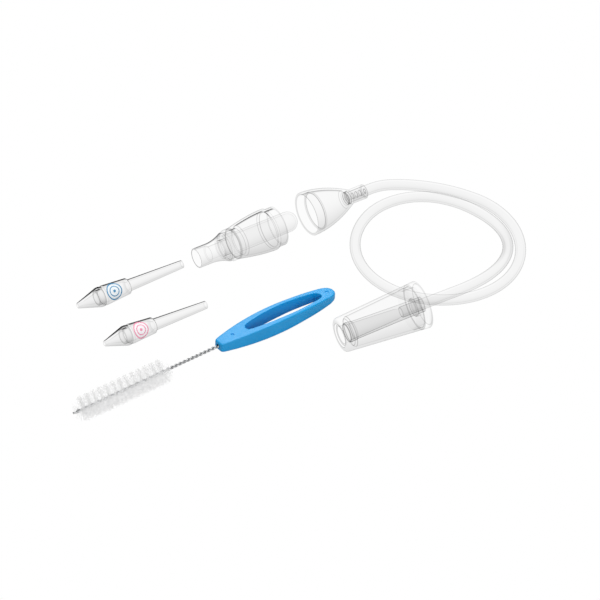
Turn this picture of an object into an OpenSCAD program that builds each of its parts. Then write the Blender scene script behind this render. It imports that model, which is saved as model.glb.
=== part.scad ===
// Nasal aspirator kit, laid out apart on a table.
// The fitted tip, the collector, the rear cup and the start of the hose share one axis along +X.
// The hose makes about one and a half turns and ends in the mouthpiece.
// A spare tip and a cleaning brush lie beside them. Lengths are in millimetres, the table is z = 0.

/* [Hose] */
// Outer diameter of the hose
hose_od = 5.5; // [4:0.1:8]
// Inner diameter of the hose
hose_id = 3.5; // [2:0.1:6]
// Straight start of the hose behind the cup collar
hose_lead = 3.2; // [2:0.1:10]
// Radius of the first short bend
first_bend_r = 24; // [15:0.5:60]
// Angle of the first short bend
first_bend_deg = 27; // [5:1:90]
// Radius of the long flat sweep
sweep_r = 85; // [40:1:150]
// Angle of the long flat sweep
sweep_deg = 29; // [5:1:90]
// Radius of the far turn
far_turn_r = 38.4; // [25:0.1:60]
// Angle of the far turn
far_turn_deg = 140; // [90:1:180]
// Radius of the near turn
near_turn_r = 43.4; // [25:0.1:60]
// Angle of the near turn
near_turn_deg = 137.5; // [90:0.5:180]
// Radius of the turn at the top of the inner loop
top_turn_r = 32.5; // [25:0.1:60]
// Angle of the turn at the top of the inner loop
top_turn_deg = 74.5; // [45:0.5:120]
// Radius of the last turn
last_turn_r = 46.4; // [25:0.1:60]
// Angle of the last turn
last_turn_deg = 138; // [90:1:180]
// Straight end of the hose, up to its end inside the mouthpiece
hose_tail = 31.5; // [20:0.5:50]
// Distance along the hose at which it has come down to the table
down_at = 133; // [80:1:200]
// Distance along the hose at which it leaves the table again
up_at = 315; // [220:1:380]

/* [Tips] */
// Length of a tip from nose end to stem end
tip_length = 61; // [50:0.5:75]
// Largest radius of a tip
tip_r = 5.15; // [4:0.05:7]
// Radius of the barrel at its rear
tip_barrel_rear_r = 4.2; // [3.5:0.05:5]
// Radius of the stem at the barrel
tip_stem_r = 3.1; // [2.5:0.05:4]
// Radius of the stem at its end
tip_stem_end_r = 2.05; // [1.8:0.05:3]
// Gap between the stem end and the nozzle mouth as laid out
tip_gap = 8.5; // [2:0.5:20]

/* [Collector] */
// Radius of the nozzle cylinder
nozzle_r = 5.2; // [5:0.05:7]
// Largest radius of the bell flare
bell_r = 7.6; // [7:0.1:9]
// Radius of the sealing ring
ring_r = 8.3; // [8:0.1:10]
// Largest radius of the collector shell
shell_r = 11; // [9:0.1:13]
// Radius of the inner trap tube
trap_r = 5.25; // [5:0.05:5.6]
// Length of the collector from nozzle mouth to dome end
collector_length = 58.9; // [54:0.1:66]
// Gap between the dome end and the cup rim as laid out
collector_gap = 6.4; // [2:0.1:20]

/* [Rear cup] */
// Radius of the cup rim
cup_r = 11.5; // [11.3:0.1:13]
// Length of the cup with its collar
cup_length = 34.6; // [30:0.1:42]
// Radius of the collar that holds the hose
collar_r = 3.75; // [3.7:0.05:4.5]
// Length of the collar
collar_length = 9.4; // [6:0.1:12]

/* [Mouthpiece] */
// Length from the rear of the base cap to the lip
mouth_length = 46.2; // [40:0.1:55]
// Radius at the rear
mouth_rear_r = 12.35; // [12:0.05:14]
// Radius at the lip
mouth_lip_r = 8.9; // [8:0.05:11]
// Radius of the mouth bore
mouth_bore_r = 4.5; // [4.3:0.05:4.8]
// Length of the hose inside the mouthpiece
mouth_insertion = 12; // [8:0.5:14]

/* [Brush] */
// Length of the handle
handle_length = 73; // [60:0.5:90]
// Largest width of the handle
handle_width = 13.4; // [11:0.1:18]
// Width of the handle at the wire
handle_wire_width = 5.6; // [4.5:0.1:8]
// Largest thickness of the handle
handle_height = 7.8; // [6:0.1:10]
// Thickness of the handle at the wire
handle_wire_height = 4.9; // [4:0.1:7]
// Length of the finger slot
slot_length = 47; // [35:0.5:55]
// Width of the finger slot
slot_width = 8.4; // [6:0.1:10]
// Length of bare wire between handle and bristles
bare_wire = 32; // [20:0.5:45]
// Length of the bristle bundle
bristle_length = 56; // [40:0.5:70]
// Radius of the bristle bundle
bristle_r = 6.9; // [5:0.1:9]
// Number of tuft ridges along the bundle
tuft_count = 14; // [10:1:22]

/* [Hidden] */
$fn = 96;

// Fits: radial clearance where pieces slide or turn, and where pieces of one assembly sit together.
run_gap = 0.06;
seat_gap = 0.02;
wall = 1;
// How far the mouthpiece and the spare tip clear the table where they rest on it.
table_gap = 0.06;

// Layout: the cup's rear end is at x = 0 before the shift that centres the kit on the origin.
shift_x = 78.647;
shift_y = 43.403;
row_y = 2.5;
row_z = cup_r;
cup_x = -cup_length;
collector_x = cup_x - collector_gap - collector_length;
tip_x = collector_x - tip_gap - tip_length;
spare_x = -170;
spare_y = -24.2;
spare_yaw = 2.8;
brush_x = -123;
brush_y = -55.1;
brush_yaw = 5.8;

// Colours
clear_plastic = [0.87, 0.89, 0.91, 0.45];
milky_silicone = [0.92, 0.93, 0.94, 0.8];
handle_blue = [0.05, 0.5, 0.82];
steel = [0.7, 0.71, 0.73];
nylon = [0.95, 0.95, 0.96];

// ---- Shared shapes ----

// Revolves a profile of [radius, x] points about the X axis.
module lathe(points) {
    rotate([0, 90, 0]) rotate_extrude() polygon(points);
}

// A number between a and b, t of the way.
function mix(a, b, t) = a + (b - a) * t;

// [radius, x] points of a quarter round between two angles.
function round_points(r, x, radius, from, to, n = 6) =
    [for (i = [0 : n]) let (a = mix(from, to, i / n)) [r + radius * cos(a), x + radius * sin(a)]];

// ---- Hose ----

hose_bends = [[first_bend_r, first_bend_deg], [sweep_r, sweep_deg], [far_turn_r, far_turn_deg],
              [near_turn_r, near_turn_deg], [top_turn_r, top_turn_deg], [last_turn_r, last_turn_deg]];
hose_in_cup = 8.6;
hose_rings = 16;
hose_steps = 96;
mouth_droop = atan((mouth_rear_r - mouth_lip_r) / mouth_length);

// Length of the centre line over the first k bends.
function bend_length(k) =
    k == 0 ? 0 : bend_length(k - 1) + hose_bends[k - 1][0] * hose_bends[k - 1][1] * PI / 180;
bends_total = bend_length(len(hose_bends));
hose_length = hose_lead + bends_total + hose_tail;

// [x, y, heading] after the first k bends, each turning to the right.
function turn(state, radius, angle) = [
    state[0] + radius * (sin(state[2]) - sin(state[2] - angle)),
    state[1] + radius * (cos(state[2] - angle) - cos(state[2])),
    state[2] - angle];
function bend_state(k) =
    k == 0 ? [hose_lead, row_y, 0] : turn(bend_state(k - 1), hose_bends[k - 1][0], hose_bends[k - 1][1]);
function bend_at(s, k = 0) =
    k == len(hose_bends) - 1 || s < hose_lead + bend_length(k + 1) ? k : bend_at(s, k + 1);

// [x, y, heading] of the centre line at a distance s past the cup's rear end.
function plan_at(s) =
    s <= hose_lead ? [s, row_y, 0]
    : s >= hose_lead + bends_total
        ? let (e = bend_state(len(hose_bends)), d = s - hose_lead - bends_total)
            [e[0] + d * cos(e[2]), e[1] + d * sin(e[2]), e[2]]
    : let (k = bend_at(s), d = s - hose_lead - bend_length(k))
        turn(bend_state(k), hose_bends[k][0], d / hose_bends[k][0] * 180 / PI);

// Height of the centre line: level in the cup, down to the table, up again into the mouthpiece.
function ease(t) = t <= 0 ? 0 : t >= 1 ? 1 : t * t * (3 - 2 * t);
tail_start = hose_lead + bends_total;
end_height = mouth_rear_r + table_gap - mouth_insertion * tan(mouth_droop);
tail_height = end_height + hose_tail * tan(mouth_droop);
function rise(t) =
    hose_od / 2 * (1 - ease(t)) + tail_height * ease(t)
    - tan(mouth_droop) * (tail_start - up_at) * (t * t * t - t * t);
function height_at(s) =
    s < down_at ? mix(row_z, hose_od / 2, ease((s - hose_lead) / (down_at - hose_lead)))
    : s < up_at ? hose_od / 2
    : s < tail_start ? rise((s - up_at) / (tail_start - up_at))
    : tail_height - (s - tail_start) * tan(mouth_droop);

// Centre-line point and the two directions across the hose at s.
function hose_point(s) = [plan_at(s)[0], plan_at(s)[1], height_at(s)];
function slope_at(s) =
    s <= hose_lead ? 0
    : s >= tail_start ? -mouth_droop
    : atan((height_at(s + 0.5) - height_at(s - 0.5)));
function across(s, a) =
    let (h = plan_at(s)[2], g = slope_at(s), side = [-sin(h), cos(h), 0],
         up = [-cos(h) * sin(g), -sin(h) * sin(g), cos(g)])
    side * cos(a) + up * sin(a);

// Distances along the hose at which its surface has a ring of corners.
hose_stations = concat([-hose_in_cup, 0],
    [for (i = [0 : hose_steps]) mix(hose_lead, tail_start, i / hose_steps)], [tail_start + hose_tail]);

module hose_tube() {
    n = hose_rings;
    m = len(hose_stations);
    inner_r = hose_id / 2 / cos(180 / n);
    rings = concat(
        [for (s = hose_stations, j = [0 : n - 1]) hose_point(s) + hose_od / 2 * across(s, 360 * j / n)],
        [for (s = hose_stations, j = [0 : n - 1]) hose_point(s) + inner_r * across(s, 360 * j / n)]);
    bore = m * n;
    last = (m - 1) * n;
    faces = concat(
        [for (i = [0 : m - 2], j = [0 : n - 1]) let (k = (j + 1) % n)
            [i * n + j, i * n + k, (i + 1) * n + j]],
        [for (i = [0 : m - 2], j = [0 : n - 1]) let (k = (j + 1) % n)
            [i * n + k, (i + 1) * n + k, (i + 1) * n + j]],
        [for (i = [0 : m - 2], j = [0 : n - 1]) let (k = (j + 1) % n)
            [bore + i * n + k, bore + i * n + j, bore + (i + 1) * n + j]],
        [for (i = [0 : m - 2], j = [0 : n - 1]) let (k = (j + 1) % n)
            [bore + (i + 1) * n + k, bore + i * n + k, bore + (i + 1) * n + j]],
        [for (j = [0 : n - 1]) let (k = (j + 1) % n) [j, bore + j, k]],
        [for (j = [0 : n - 1]) let (k = (j + 1) % n) [k, bore + j, bore + k]],
        [for (j = [0 : n - 1]) let (k = (j + 1) % n) [last + j, last + k, bore + last + j]],
        [for (j = [0 : n - 1]) let (k = (j + 1) % n) [last + k, bore + last + k, bore + last + j]]);
    polyhedron(points = rings, faces = faces, convexity = 10);
}

// ---- Placing ----

module centred() {
    translate([shift_x, shift_y, 0]) children();
}

module on_row(x) {
    centred() translate([x, row_y, row_z]) children();
}

// The mouthpiece's X axis runs from its rear to its lip.
mouth_heading = plan_at(hose_length)[2];
module at_mouth() {
    end = hose_point(hose_length);
    centred() translate(end) rotate([0, mouth_droop, mouth_heading])
        translate([-mouth_insertion, 0, 0]) children();
}

// A tip lying on the table touches it with its shoulder and with its stem end.
tip_shoulder_x = 15.2;
tip_droop = asin((tip_r - tip_stem_end_r) / (tip_length - tip_shoulder_x));
module on_table_tip() {
    spare_z = table_gap + tip_r * cos(tip_droop) + tip_shoulder_x * sin(tip_droop);
    centred() translate([spare_x, spare_y, spare_z]) rotate([0, tip_droop, spare_yaw]) children();
}

// The brush rests on its bristles and on the belly of the handle. Its X axis is the wire.
// crown_mid is the distance from the wire end of the handle to its thickest place.
// The table is the tangent from the near end of the bristles to the arc of the belly.
crown_mid = 34;
belly_r = arc_radius(crown_mid, (handle_height - handle_wire_height) / 2);
belly_centre = [crown_mid + bare_wire, belly_r - handle_height / 2 + bristle_r];
brush_pitch = atan(belly_centre[1] / belly_centre[0]) - asin(belly_r / norm(belly_centre));
brush_z = bristle_r * cos(brush_pitch) - bare_wire * sin(brush_pitch) + table_gap;
module at_brush() {
    centred() translate([brush_x, brush_y, brush_z]) rotate([0, brush_pitch, brush_yaw]) children();
}

// ---- Tips ----

nose_end_r = 1.5;
nose_bore_r = 0.9;
cone_length = 12.3;
nose_length = 14;
socket_x = 11;
spigot_r = 3.9;
barrel_end_x = 28.8;

module tip_nose() {
    lathe(concat(
        [[nose_bore_r, 0]],
        round_points(nose_end_r - 0.4, 0.4, 0.4, -90, 0, 5),
        [[tip_r - 0.12, cone_length - 0.3], [tip_r, cone_length + 0.2], [tip_r, nose_length - 0.2],
         [tip_r - 0.2, nose_length], [spigot_r, nose_length], [spigot_r, socket_x],
         [2.9, socket_x], [nose_bore_r, 3.2]]));
}

module tip_stem() {
    neck_r = tip_r - 0.4;
    lathe([[spigot_r - seat_gap, socket_x], [spigot_r - seat_gap, nose_length], [neck_r, nose_length],
           [neck_r, tip_shoulder_x - 0.15], [tip_r, tip_shoulder_x], [tip_barrel_rear_r, barrel_end_x],
           [tip_barrel_rear_r - 0.35, barrel_end_x + 0.35], [tip_stem_r + 0.3, barrel_end_x + 0.35],
           [tip_stem_r, barrel_end_x + 0.65], [tip_stem_end_r, tip_length],
           [tip_stem_end_r - 0.8, tip_length], [tip_stem_r - 0.9, barrel_end_x],
           [tip_barrel_rear_r - wall, barrel_end_x - 2], [tip_r - 1.3, tip_shoulder_x + 0.6],
           [spigot_r - wall, socket_x + 2], [spigot_r - wall, socket_x]]);
}

// ---- Collector ----

nozzle_length = 7;
bell_end_x = 16.7;
ring_end_x = 21.5;
spigot_end_x = 24.3;
shell_end_x = 43.4;
shell_spigot_end_x = 48;
seat_depth = 6.5;
throat_r = 3.4;
sleeve_r = trap_r - 0.95;
web_x = 14;
neck_bore_r = 7;
shell_spigot_r = 10.2;
tip_slope = (tip_r - tip_barrel_rear_r) / (barrel_end_x - tip_shoulder_x);
socket_mouth_r = tip_barrel_rear_r + tip_slope * seat_depth + 0.045;
socket_floor_r = socket_mouth_r - tip_slope * (seat_depth + 0.5);

function bell(x) = mix(nozzle_r, bell_r, pow((x - nozzle_length) / (bell_end_x - nozzle_length), 2));

module nozzle_body() {
    lathe(concat(
        [[socket_mouth_r, 0]],
        round_points(nozzle_r - 0.2, 0.2, 0.2, -90, 0, 4),
        [for (i = [0 : 16]) let (x = mix(nozzle_length, bell_end_x, i / 16)) [bell(x), x]],
        [[neck_bore_r - run_gap, bell_end_x], [neck_bore_r - run_gap, spigot_end_x - 0.3],
         [neck_bore_r - run_gap - 0.3, spigot_end_x], [neck_bore_r - wall, spigot_end_x],
         [neck_bore_r - wall, bell_end_x - 0.2]],
        [for (i = [0 : 5]) let (x = mix(bell_end_x - 0.7, web_x, i / 5)) [bell(x) - 0.95, x]],
        [[sleeve_r - seat_gap, web_x], [sleeve_r - seat_gap, bell_end_x + 2.3],
         [throat_r, bell_end_x + 2.3], [throat_r, seat_depth + 0.7], [socket_floor_r, seat_depth + 0.5]]));
}

module seal_ring_body() {
    x0 = bell_end_x;
    x1 = ring_end_x - 0.04;
    inner = neck_bore_r - run_gap + seat_gap;
    lathe(concat(
        [[inner, x0], [bell_r - 0.1, x0]],
        round_points(bell_r - 0.4, x0 + 0.7, 0.6, -60, 90, 8),
        [[bell_r - 0.4, x0 + 1.5]],
        round_points(ring_r - 0.9, x0 + 2.4, 0.9, -90, 0, 8),
        [[ring_r, x1 - 0.9]],
        round_points(ring_r - 0.5, x1 - 0.5, 0.5, 0, 90, 6),
        [[inner, x1]]));
}

slot_x = 26;
slot_size = [8, 3];

module trap_tube_body() {
    dome_x = collector_length - trap_r;
    inner = trap_r - 0.95;
    difference() {
        lathe(concat(
            [[inner, web_x], [trap_r, web_x]],
            round_points(0, dome_x, trap_r, 0, 90, 16),
            round_points(0, dome_x, inner, 90, 0, 16)));
        translate([slot_x, 0, 0]) cube([slot_size[0], slot_size[1], 3 * trap_r], center = true);
    }
}

function shell_out(x) = mix(ring_r - 0.1, shell_r, sin(90 * (x - ring_end_x) / (shell_end_x - ring_end_x)));

module collector_shell_body() {
    lathe(concat(
        [[neck_bore_r, ring_end_x], [ring_r - 0.4, ring_end_x], [ring_r - 0.05, ring_end_x + 0.35]],
        [for (i = [1 : 22]) let (x = mix(ring_end_x, shell_end_x - 0.6, i / 22)) [shell_out(x), x]],
        round_points(shell_r - 0.6, shell_end_x - 0.6, 0.6, 10, 90, 5),
        [[shell_spigot_r, shell_end_x], [shell_spigot_r, shell_spigot_end_x - 0.3],
         [shell_spigot_r - 0.3, shell_spigot_end_x], [shell_spigot_r - wall, shell_spigot_end_x],
         [shell_spigot_r - wall, shell_end_x - 0.6]],
        [for (i = [0 : 16]) let (x = mix(shell_end_x - 1.6, ring_end_x + 4.5, i / 16))
            [shell_out(x) - wall, x]],
        [[neck_bore_r, ring_end_x + 3.4]]));
}

// ---- Rear cup ----

cup_wall = 1.1;
cup_socket_r = shell_spigot_r + run_gap;
cup_socket_depth = 5;
bullet_end_x = cup_length - collar_length;
pocket_x = bullet_end_x - 2;
flange_r = 3.4;
flange_thickness = 1.5;
hose_bore_r = hose_od / 2 + run_gap;
cup_power = 1.9;

function cup_out(x) = mix(cup_r, collar_r + 0.5, pow(x / bullet_end_x, cup_power));

module rear_cup_body() {
    lathe(concat(
        [[cup_socket_r, 0.3], [cup_socket_r + 0.3, 0]],
        round_points(cup_r - 0.4, 0.4, 0.4, -90, 0, 5),
        [for (i = [1 : 26]) let (x = mix(0, bullet_end_x, i / 26)) [cup_out(x), x]],
        [[collar_r, bullet_end_x + 0.5], [collar_r, cup_length - 0.4], [collar_r - 0.4, cup_length],
         [hose_bore_r, cup_length], [hose_bore_r, pocket_x + flange_thickness + 0.1],
         [flange_r + run_gap, pocket_x + flange_thickness + 0.1], [flange_r + run_gap, pocket_x - 0.6]],
        [for (i = [0 : 20]) let (x = mix(pocket_x - 1.2, cup_socket_depth + 0.6, i / 20))
            [max(cup_out(x) - cup_wall, flange_r + run_gap), x]],
        [[shell_spigot_r - wall, cup_socket_depth + 0.4], [shell_spigot_r - wall, cup_socket_depth],
         [cup_socket_r, cup_socket_depth]]));
}

connector_bore_r = 0.95;
barb_r = hose_id / 2 - run_gap;
stem_r = barb_r - 0.2;
stem_length = 10;

module hose_connector_body() {
    x0 = pocket_x;
    x1 = pocket_x + flange_thickness;
    lathe([[connector_bore_r, x0], [flange_r - 0.3, x0], [flange_r, x0 + 0.3], [flange_r, x1],
           [stem_r, x1], [stem_r, x1 + 2.6], [barb_r, x1 + 2.6], [stem_r, x1 + 4.8],
           [barb_r, x1 + 4.8], [stem_r, x1 + 7], [barb_r, x1 + 7],
           [stem_r - 0.15, x1 + stem_length], [connector_bore_r, x1 + stem_length]]);
}

// ---- Mouthpiece ----

base_length = 4.5;
shell_bore_r = 10.8;
shell_bore_length = 4.2;
front_wall_x = mouth_length - 5;
airway_rear_r = 3.9;
airway_front_r = 5;
recess_depth = 1;
lip_round = 1.7;

function mouth_out(x) = mix(mouth_rear_r, mouth_lip_r + 0.12, x / (mouth_length - lip_round));

module mouthpiece_base_body() {
    spigot = shell_bore_r - run_gap;
    hub_r = airway_rear_r + seat_gap;
    lathe(concat(
        [[hub_r, 0.4], [mouth_rear_r - 1.6, 0.4], [mouth_rear_r - 1.6, 0]],
        round_points(mouth_rear_r - 1.1, 1.1, 1.1, -90, 0, 8),
        [[mouth_out(base_length), base_length - 0.1], [spigot, base_length - 0.1],
         [spigot, base_length + shell_bore_length - 0.3],
         [spigot - 0.3, base_length + shell_bore_length - 0.1],
         [spigot - wall, base_length + shell_bore_length - 0.1],
         [spigot - wall, 2], [hub_r + wall, 2], [hub_r + wall, base_length], [hub_r, base_length]]));
}

module mouthpiece_airway_body() {
    x1 = front_wall_x + recess_depth - 0.1;
    lathe([[hose_bore_r, 0.4], [airway_rear_r, 0.4], [airway_rear_r, base_length],
           [airway_rear_r + 0.9, base_length], [airway_rear_r + 0.9, base_length + 1],
           [airway_rear_r, base_length + 1], [airway_rear_r + 0.1, mouth_insertion + 2],
           [airway_front_r - 0.3, front_wall_x - 3], [airway_front_r, front_wall_x - 2.6],
           [airway_front_r, x1], [airway_front_r - 0.9, x1],
           [hose_bore_r - 0.1, mouth_insertion + 3], [hose_bore_r - 0.6, mouth_insertion + 1],
           [hose_bore_r - 0.6, mouth_insertion + 0.1], [hose_bore_r, mouth_insertion + 0.1]]);
}

module mouthpiece_shell_body() {
    bore_end = base_length + shell_bore_length;
    countersink_r = 6;
    lathe(concat(
        [[shell_bore_r, base_length], [mouth_out(base_length), base_length],
         [mouth_out(mouth_length - lip_round), mouth_length - lip_round]],
        round_points(mouth_lip_r + 0.12 - lip_round, mouth_length - lip_round, lip_round, 15, 90, 8),
        [[countersink_r + 0.3, mouth_length], [countersink_r, mouth_length - 0.25],
         [countersink_r - 0.5, mouth_length - 0.9], [mouth_bore_r, mouth_length - 0.9],
         [mouth_bore_r, front_wall_x + recess_depth], [airway_front_r + run_gap, front_wall_x + recess_depth],
         [airway_front_r + run_gap, front_wall_x], [mouth_out(front_wall_x) - 2.2, front_wall_x],
         [mouth_out(front_wall_x) - 1.3, front_wall_x - 1], [mouth_out(bore_end + 1) - 1.2, bore_end + 1],
         [shell_bore_r, bore_end]]));
}

// ---- Brush ----

wire_r = 0.9;
strand_r = wire_r / 2;
bare_pitch = 5.1;
bristle_pitch = 8;
wire_in_handle = 8;
bristle_start = -bare_wire - bristle_length;
handle_mid = 38;
handle_tail_r = 3.75;
slot_mid = 41;

// Radius of an arc that drops by a given amount over a given half length.
function arc_radius(half, drop) = (half * half + drop * drop) / (2 * drop);

module lens(half, half_width) {
    radius = arc_radius(half, half_width);
    intersection() {
        translate([0, radius - half_width]) circle(r = radius, $fn = 720);
        translate([0, half_width - radius]) circle(r = radius, $fn = 720);
    }
}

module handle_outline() {
    drop = (handle_width - handle_wire_width) / 2;
    radius = arc_radius(handle_mid, drop);
    tail_x = handle_length - handle_tail_r;
    intersection() {
        translate([handle_mid, radius - handle_width / 2]) circle(r = radius, $fn = 1440);
        translate([handle_mid, handle_width / 2 - radius]) circle(r = radius, $fn = 1440);
        union() {
            translate([0, -handle_width]) square([tail_x, 2 * handle_width]);
            translate([tail_x, 0]) circle(r = handle_tail_r, $fn = 64);
        }
    }
}

module slot_outline() {
    end_r = 2.2;
    reach = slot_length / 2 - end_r;
    lens_half = slot_length / 2 + 9;
    intersection() {
        lens(lens_half, slot_width / 2);
        union() {
            square([2 * reach, slot_width + 2], center = true);
            translate([reach, 0]) circle(r = end_r, $fn = 48);
            translate([-reach, 0]) circle(r = end_r, $fn = 48);
        }
    }
}

// Side view of the handle: bowed above and below, thickest in the middle.
module handle_side() {
    translate([crown_mid, belly_r - handle_height / 2]) intersection() {
        circle(r = belly_r, $fn = 1440);
        translate([0, handle_height - 2 * belly_r]) circle(r = belly_r, $fn = 1440);
    }
}

module handle_body() {
    dimple_r = 1.1;
    dimple_z = handle_height / 2 - 1;
    difference() {
        intersection() {
            translate([0, 0, -handle_height]) linear_extrude(height = 2 * handle_height) handle_outline();
            rotate([90, 0, 0]) translate([0, 0, -handle_width])
                linear_extrude(height = 2 * handle_width) handle_side();
        }
        translate([slot_mid, 0, -handle_height]) linear_extrude(height = 2 * handle_height) slot_outline();
        translate([-1, 0, 0]) rotate([0, 90, 0]) cylinder(r = wire_r + seat_gap, h = wire_in_handle + 1);
        translate([9, 0, dimple_z + 0.05]) cylinder(r = dimple_r, h = 3);
        translate([handle_length - 4.4, 0, dimple_z - 0.65]) cylinder(r = dimple_r, h = 3);
    }
}

// Two strands twisted round each other over a length, left-handed, once per pitch.
module twisted_pair(length, pitch) {
    turns = length / pitch;
    linear_extrude(height = length, twist = 360 * turns, slices = floor(turns * 10), $fn = 6) {
        translate([strand_r, 0]) circle(r = strand_r);
        translate([-strand_r, 0]) circle(r = strand_r);
        circle(r = strand_r / 2);
    }
}

// The twist is tighter along the bare part than among the bristles.
module wire_body() {
    in_bristles = bristle_length + 1.2;
    overlap = 0.1;
    rotate([0, 90, 0]) {
        cylinder(r = wire_r, h = wire_in_handle, $fn = 24);
        translate([0, 0, -bare_wire - overlap]) twisted_pair(bare_wire + 2 * overlap, bare_pitch);
        translate([0, 0, -bare_wire - 3 * overlap]) cylinder(r = wire_r, h = 6 * overlap, $fn = 24);
        translate([0, 0, -bare_wire - in_bristles]) {
            twisted_pair(in_bristles + overlap, bristle_pitch);
            sphere(r = wire_r, $fn = 20);
        }
    }
}

module bristles_body() {
    pitch = bristle_length / tuft_count;
    steps = 6;
    valley = 0.9;
    lathe(concat(
        [[wire_r + seat_gap, bristle_start]],
        [for (i = [0 : tuft_count * steps])
            let (t = i / steps, end = min(1, 0.72 + 0.28 * min(t, tuft_count - t)))
            [end * (bristle_r - valley * pow(abs(cos(180 * t)), 3)), bristle_start + t * pitch]],
        [[wire_r + seat_gap, -bare_wire]]));
}

// ---- Nodes ----

module hose() {
    color(milky_silicone) centred() hose_tube();
}

module hose_connector() {
    color(clear_plastic) on_row(cup_x) hose_connector_body();
}

module rear_cup() {
    color(clear_plastic) on_row(cup_x) rear_cup_body();
}

module collector_shell() {
    color(clear_plastic) on_row(collector_x) collector_shell_body();
}

module nozzle() {
    color(clear_plastic) on_row(collector_x) nozzle_body();
}

module seal_ring() {
    color(milky_silicone) on_row(collector_x) seal_ring_body();
}

module trap_tube() {
    color(clear_plastic) on_row(collector_x) trap_tube_body();
}

module tip_nose_blue() {
    color(milky_silicone) on_row(tip_x) tip_nose();
}

module tip_stem_blue() {
    color(clear_plastic) on_row(tip_x) tip_stem();
}

module tip_nose_pink() {
    color(milky_silicone) on_table_tip() tip_nose();
}

module tip_stem_pink() {
    color(clear_plastic) on_table_tip() tip_stem();
}

module mouthpiece_base() {
    color(clear_plastic) at_mouth() mouthpiece_base_body();
}

module mouthpiece_airway() {
    color(clear_plastic) at_mouth() mouthpiece_airway_body();
}

module mouthpiece_shell() {
    color(clear_plastic) at_mouth() mouthpiece_shell_body();
}

module brush_handle() {
    color(handle_blue) at_brush() handle_body();
}

module brush_wire() {
    color(steel) at_brush() wire_body();
}

module brush_bristles() {
    color(nylon) at_brush() bristles_body();
}

hose();
hose_connector();
rear_cup();
collector_shell();
nozzle();
seal_ring();
trap_tube();
tip_nose_blue();
tip_stem_blue();
tip_nose_pink();
tip_stem_pink();
mouthpiece_base();
mouthpiece_airway();
mouthpiece_shell();
brush_handle();
brush_wire();
brush_bristles();
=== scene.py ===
"""Looks of the nasal aspirator kit: clear mouldings, silicone hose, printed marks and a cleaning brush."""

import math
import random

import bmesh
import bpy
import numpy as np
from mathutils import Matrix, Vector

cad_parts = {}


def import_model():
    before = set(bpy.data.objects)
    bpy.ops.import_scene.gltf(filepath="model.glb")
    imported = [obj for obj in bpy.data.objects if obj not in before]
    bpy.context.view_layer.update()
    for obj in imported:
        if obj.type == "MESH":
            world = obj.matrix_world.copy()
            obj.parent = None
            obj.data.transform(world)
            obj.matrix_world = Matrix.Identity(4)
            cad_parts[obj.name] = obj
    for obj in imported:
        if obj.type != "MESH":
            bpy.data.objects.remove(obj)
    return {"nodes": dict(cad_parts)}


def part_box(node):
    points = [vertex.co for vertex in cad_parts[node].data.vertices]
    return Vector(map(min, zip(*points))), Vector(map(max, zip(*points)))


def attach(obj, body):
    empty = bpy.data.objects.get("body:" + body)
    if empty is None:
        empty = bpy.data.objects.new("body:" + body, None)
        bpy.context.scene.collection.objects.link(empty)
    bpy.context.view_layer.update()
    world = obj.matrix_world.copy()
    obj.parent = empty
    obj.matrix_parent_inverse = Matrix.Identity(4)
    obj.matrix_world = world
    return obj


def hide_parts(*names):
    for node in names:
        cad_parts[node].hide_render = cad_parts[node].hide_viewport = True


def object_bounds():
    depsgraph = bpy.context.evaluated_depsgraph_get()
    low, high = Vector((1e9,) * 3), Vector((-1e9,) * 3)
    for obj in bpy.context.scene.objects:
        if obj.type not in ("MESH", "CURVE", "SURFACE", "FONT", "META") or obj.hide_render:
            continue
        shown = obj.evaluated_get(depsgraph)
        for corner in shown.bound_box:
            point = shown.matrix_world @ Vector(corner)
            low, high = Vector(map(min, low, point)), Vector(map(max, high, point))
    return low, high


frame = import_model()
cad_low, cad_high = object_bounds()
rng = random.Random(11)
MM = 0.001


# ---- Sizes of the pieces, in millimetres, along each piece's own axis ----

HOSE_R, HOSE_BORE_R = 2.75, 1.75
HOSE_LEAD, HOSE_TAIL, HOSE_IN_CUP = 3.2, 31.5, 8.6
HOSE_BENDS = ((24, 27), (85, 29), (38.4, 140), (43.4, 137.5), (32.5, 74.5), (46.4, 138))
HOSE_DOWN_AT, HOSE_UP_AT = 133, 315
MOUTH_LENGTH, MOUTH_REAR_R, MOUTH_LIP_R, MOUTH_INSERTION = 46.2, 12.35, 8.9, 12
TABLE_GAP = 0.06
TIP_LENGTH, TIP_R, BARREL_REAR_R, STEM_R, STEM_END_R = 61, 5.15, 4.2, 3.1, 2.05
SHOULDER_X, BARREL_END_X = 15.2, 28.8
COLLECTOR_LENGTH, NOZZLE_R, BELL_R, RING_R, SHELL_R, TRAP_R = 58.9, 5.2, 7.6, 8.3, 11, 5.25
CUP_LENGTH, CUP_R, COLLAR_R, COLLAR_LENGTH = 34.6, 11.5, 3.75, 9.4
HANDLE_LENGTH, HANDLE_WIDTH, HANDLE_WIRE_WIDTH = 73, 13.4, 5.6
HANDLE_HEIGHT, HANDLE_WIRE_HEIGHT = 7.8, 4.9
SLOT_LENGTH, SLOT_WIDTH, SLOT_MID = 47, 8.4, 41
BARE_WIRE, BRISTLE_LENGTH, BRISTLE_R = 32, 56, 6.9
BARE_PITCH, BRISTLE_PITCH = 5.1, 8


def mix(a, b, t):
    return a + (b - a) * t


def ease(t):
    t = min(max(t, 0.0), 1.0)
    return t * t * (3 - 2 * t)


# ---- Where the pieces are, read from the frame ----


def cloud(*names):
    return np.array([v.co for n in names for v in frame["nodes"][n].data.vertices], float)


def end_centre(points, axis, sign, depth):
    """Centre of the ring of points within a depth of one end of a revolved piece."""
    along = points @ axis * sign
    ring = points[along > along.max() - depth]
    side = np.cross(axis, (0, 0, 1.0))
    side /= np.linalg.norm(side)
    up = np.cross(side, axis)
    centre = axis * along.max() * sign
    for d in (side, up):
        reach = ring @ d
        centre = centre + d * (reach.min() + reach.max()) / 2
    return centre


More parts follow.
